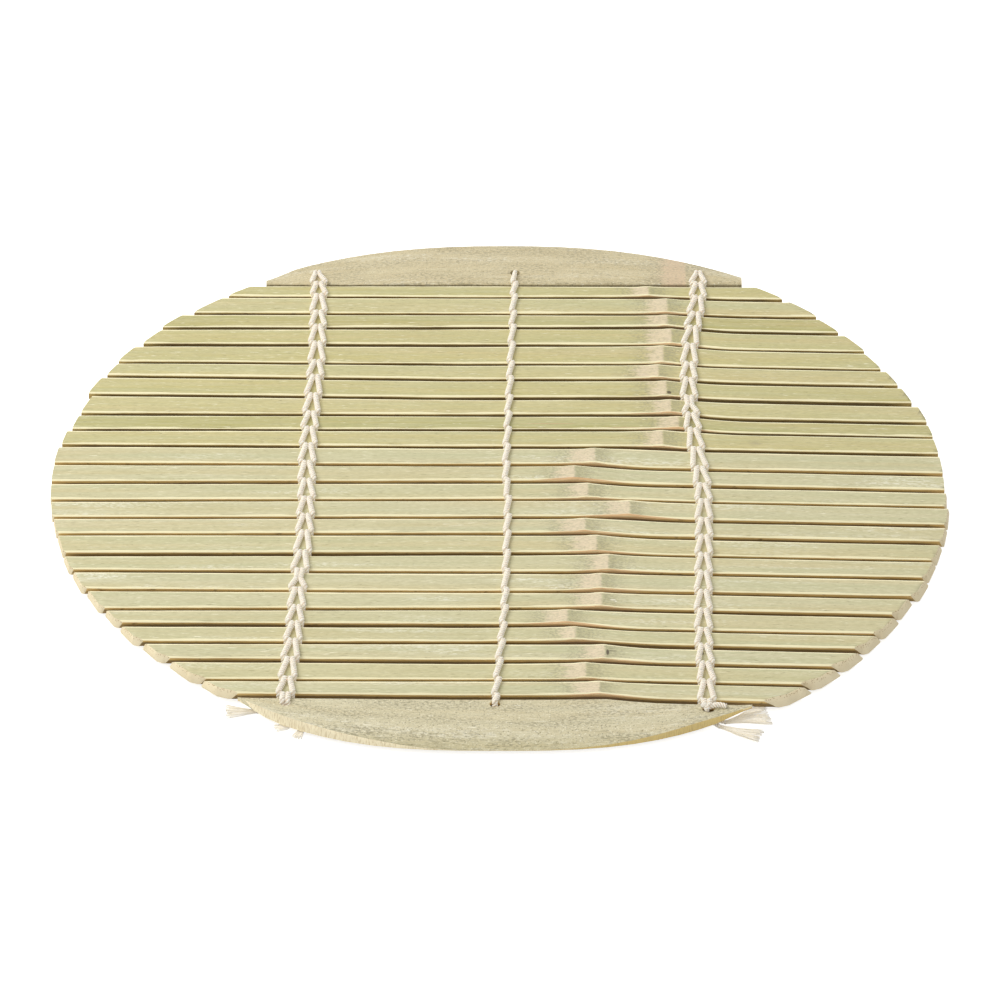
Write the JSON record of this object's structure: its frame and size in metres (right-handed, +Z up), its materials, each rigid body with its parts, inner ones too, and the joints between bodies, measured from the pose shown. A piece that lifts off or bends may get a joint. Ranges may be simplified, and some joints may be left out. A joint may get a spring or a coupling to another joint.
{
  "type": "bamboo steamer mat",
  "caption": "Round flexible mat of flat bamboo slats, laced side by side with twined cotton string, with a wide segment-shaped slat at each end.",
  "frame": {"origin": "under the middle of the mat's outline, level with the lowest strings, so the mat rests on the plane z = 0", "axes": "+X along the slats, +Y towards the far end slat, +Z up"},
  "size_m": [0.2402, 0.2363, 0.0053],
  "materials": {
    "bamboo": "split bamboo, yellow-green skin with a soft sheen",
    "pale_bamboo": "sawn bamboo, beige with dark fibre streaks",
    "cotton_string": "undyed twisted cotton, matt"
  },
  "bodies": {
    "near_end": {"near_end_slat": "pale_bamboo", "left_row_left_string": "cotton_string", "left_row_right_string": "cotton_string", "middle_row_string": "cotton_string", "right_row_left_string": "cotton_string", "right_row_right_string": "cotton_string", "left_end_knot": "cotton_string", "middle_end_knot": "cotton_string", "right_end_knot": "cotton_string", "right_top_knot": "cotton_string"},
    "slat_24_body": {"slat_24": "bamboo"},
    "slat_23_body": {"slat_23": "bamboo"},
    "slat_22_body": {"slat_22": "bamboo"},
    "slat_21_body": {"slat_21": "bamboo"},
    "slat_20_body": {"slat_20": "bamboo"},
    "slat_19_body": {"slat_19": "bamboo"},
    "slat_18_body": {"slat_18": "bamboo"},
    "slat_17_body": {"slat_17": "bamboo"},
    "slat_16_body": {"slat_16": "bamboo"},
    "slat_15_body": {"slat_15": "bamboo"},
    "slat_14_body": {"slat_14": "bamboo"},
    "slat_13_body": {"slat_13": "bamboo"},
    "slat_12_body": {"slat_12": "bamboo"},
    "slat_11_body": {"slat_11": "bamboo"},
    "slat_10_body": {"slat_10": "bamboo"},
    "slat_09_body": {"slat_09": "bamboo"},
    "slat_08_body": {"slat_08": "bamboo"},
    "slat_07_body": {"slat_07": "bamboo"},
    "slat_06_body": {"slat_06": "bamboo"},
    "slat_05_body": {"slat_05": "bamboo"},
    "slat_04_body": {"slat_04": "bamboo"},
    "slat_03_body": {"slat_03": "bamboo"},
    "slat_02_body": {"slat_02": "bamboo"},
    "slat_01_body": {"slat_01": "bamboo"},
    "far_end": {"far_end_slat": "pale_bamboo"}
  },
  "joints": [
    {"name": "fold_24", "type": "hinge", "parent": "near_end", "child": "slat_24_body", "pos_m": [0, -0.09834, 0.0025], "axis": [1, 0, 0], "range_deg": [-18, 18], "deforming": ["left_row_left_string", "left_row_right_string", "middle_row_string", "right_row_left_string", "right_row_right_string"]},
    {"name": "fold_23", "type": "hinge", "parent": "slat_24_body", "child": "slat_23_body", "pos_m": [0, -0.09089, 0.0025], "axis": [1, 0, 0], "range_deg": [-18, 18], "deforming": ["left_row_left_string", "left_row_right_string", "middle_row_string", "right_row_left_string", "right_row_right_string"]},
    {"name": "fold_22", "type": "hinge", "parent": "slat_23_body", "child": "slat_22_body", "pos_m": [0, -0.08275, 0.0025], "axis": [1, 0, 0], "range_deg": [-18, 18], "deforming": ["left_row_left_string", "left_row_right_string", "middle_row_string", "right_row_left_string", "right_row_right_string"]},
    {"name": "fold_21", "type": "hinge", "parent": "slat_22_body", "child": "slat_21_body", "pos_m": [0, -0.07484, 0.0025], "axis": [1, 0, 0], "range_deg": [-18, 18], "deforming": ["left_row_left_string", "left_row_right_string", "middle_row_string", "right_row_left_string", "right_row_right_string"]},
    {"name": "fold_20", "type": "hinge", "parent": "slat_21_body", "child": "slat_20_body", "pos_m": [0, -0.06734, 0.0025], "axis": [1, 0, 0], "range_deg": [-19, 19], "deforming": ["left_row_left_string", "left_row_right_string", "middle_row_string", "right_row_left_string", "right_row_right_string"]},
    {"name": "fold_19", "type": "hinge", "parent": "slat_20_body", "child": "slat_19_body", "pos_m": [0, -0.05951, 0.0025], "axis": [1, 0, 0], "range_deg": [-19, 19], "deforming": ["left_row_left_string", "left_row_right_string", "middle_row_string", "right_row_left_string", "right_row_right_string"]},
    {"name": "fold_18", "type": "hinge", "parent": "slat_19_body", "child": "slat_18_body", "pos_m": [0, -0.05128, 0.0025], "axis": [1, 0, 0], "range_deg": [-19, 19], "deforming": ["left_row_left_string", "left_row_right_string", "middle_row_string", "right_row_left_string", "right_row_right_string"]},
    {"name": "fold_17", "type": "hinge", "parent": "slat_18_body", "child": "slat_17_body", "pos_m": [0, -0.04263, 0.0025], "axis": [1, 0, 0], "range_deg": [-20, 20], "deforming": ["left_row_left_string", "left_row_right_string", "middle_row_string", "right_row_left_string", "right_row_right_string"]},
    {"name": "fold_16", "type": "hinge", "parent": "slat_17_body", "child": "slat_16_body", "pos_m": [0, -0.03445, 0.0025], "axis": [1, 0, 0], "range_deg": [-20, 20], "deforming": ["left_row_left_string", "left_row_right_string", "middle_row_string", "right_row_left_string", "right_row_right_string"]},
    {"name": "fold_15", "type": "hinge", "parent": "slat_16_body", "child": "slat_15_body", "pos_m": [0, -0.0257, 0.0025], "axis": [1, 0, 0], "range_deg": [-20, 20], "deforming": ["left_row_left_string", "left_row_right_string", "middle_row_string", "right_row_left_string", "right_row_right_string"]},
    {"name": "fold_14", "type": "hinge", "parent": "slat_15_body", "child": "slat_14_body", "pos_m": [0, -0.01784, 0.0025], "axis": [1, 0, 0], "range_deg": [-21, 21], "deforming": ["left_row_left_string", "left_row_right_string", "middle_row_string", "right_row_left_string", "right_row_right_string"]},
    {"name": "fold_13", "type": "hinge", "parent": "slat_14_body", "child": "slat_13_body", "pos_m": [0, -0.00933, 0.0025], "axis": [1, 0, 0], "range_deg": [-21, 21], "deforming": ["left_row_left_string", "left_row_right_string", "middle_row_string", "right_row_left_string", "right_row_right_string"]},
    {"name": "fold_12", "type": "hinge", "parent": "slat_13_body", "child": "slat_12_body", "pos_m": [0, -0.00139, 0.0025], "axis": [1, 0, 0], "range_deg": [-21, 21], "deforming": ["left_row_left_string", "left_row_right_string", "middle_row_string", "right_row_left_string", "right_row_right_string"]},
    {"name": "fold_11", "type": "hinge", "parent": "slat_12_body", "child": "slat_11_body", "pos_m": [0, 0.00684, 0.0025], "axis": [1, 0, 0], "range_deg": [-22, 22], "deforming": ["left_row_left_string", "left_row_right_string", "middle_row_string", "right_row_left_string", "right_row_right_string"]},
    {"name": "fold_10", "type": "hinge", "parent": "slat_11_body", "child": "slat_10_body", "pos_m": [0, 0.01577, 0.0025], "axis": [1, 0, 0], "range_deg": [-22, 22], "deforming": ["left_row_left_string", "left_row_right_string", "middle_row_string", "right_row_left_string", "right_row_right_string"]},
    {"name": "fold_09", "type": "hinge", "parent": "slat_10_body", "child": "slat_09_body", "pos_m": [0, 0.02415, 0.0025], "axis": [1, 0, 0], "range_deg": [-23, 23], "deforming": ["left_row_left_string", "left_row_right_string", "middle_row_string", "right_row_left_string", "right_row_right_string"]},
    {"name": "fold_08", "type": "hinge", "parent": "slat_09_body", "child": "slat_08_body", "pos_m": [0, 0.03149, 0.0025], "axis": [1, 0, 0], "range_deg": [-23, 23], "deforming": ["left_row_left_string", "left_row_right_string", "middle_row_string", "right_row_left_string", "right_row_right_string"]},
    {"name": "fold_07", "type": "hinge", "parent": "slat_08_body", "child": "slat_07_body", "pos_m": [0, 0.04034, 0.0025], "axis": [1, 0, 0], "range_deg": [-24, 24], "deforming": ["left_row_left_string", "left_row_right_string", "middle_row_string", "right_row_left_string", "right_row_right_string"]},
    {"name": "fold_06", "type": "hinge", "parent": "slat_07_body", "child": "slat_06_body", "pos_m": [0, 0.04942, 0.0025], "axis": [1, 0, 0], "range_deg": [-25, 25], "deforming": ["left_row_left_string", "left_row_right_string", "middle_row_string", "right_row_left_string", "right_row_right_string"]},
    {"name": "fold_05", "type": "hinge", "parent": "slat_06_body", "child": "slat_05_body", "pos_m": [0, 0.05715, 0.0025], "axis": [1, 0, 0], "range_deg": [-25, 25], "deforming": ["left_row_left_string", "left_row_right_string", "middle_row_string", "right_row_left_string", "right_row_right_string"]},
    {"name": "fold_04", "type": "hinge", "parent": "slat_05_body", "child": "slat_04_body", "pos_m": [0, 0.06683, 0.0025], "axis": [1, 0, 0], "range_deg": [-26, 26], "deforming": ["left_row_left_string", "left_row_right_string", "middle_row_string", "right_row_left_string", "right_row_right_string"]},
    {"name": "fold_03", "type": "hinge", "parent": "slat_04_body", "child": "slat_03_body", "pos_m": [0, 0.0757, 0.0025], "axis": [1, 0, 0], "range_deg": [-27, 27], "deforming": ["left_row_left_string", "left_row_right_string", "middle_row_string", "right_row_left_string", "right_row_right_string"]},
    {"name": "fold_02", "type": "hinge", "parent": "slat_03_body", "child": "slat_02_body", "pos_m": [0, 0.08267, 0.0025], "axis": [1, 0, 0], "range_deg": [-28, 28], "deforming": ["left_row_left_string", "left_row_right_string", "middle_row_string", "right_row_left_string", "right_row_right_string"]},
    {"name": "fold_01", "type": "hinge", "parent": "slat_02_body", "child": "slat_01_body", "pos_m": [0, 0.09114, 0.0025], "axis": [1, 0, 0], "range_deg": [-29, 29], "deforming": ["left_row_left_string", "left_row_right_string", "middle_row_string", "right_row_left_string", "right_row_right_string"]},
    {"name": "fold_00", "type": "hinge", "parent": "slat_01_body", "child": "far_end", "pos_m": [0, 0.09745, 0.0025], "axis": [1, 0, 0], "range_deg": [-36, 36], "deforming": ["left_row_left_string", "left_row_right_string", "middle_row_string", "right_row_left_string", "right_row_right_string"]}
  ]
}
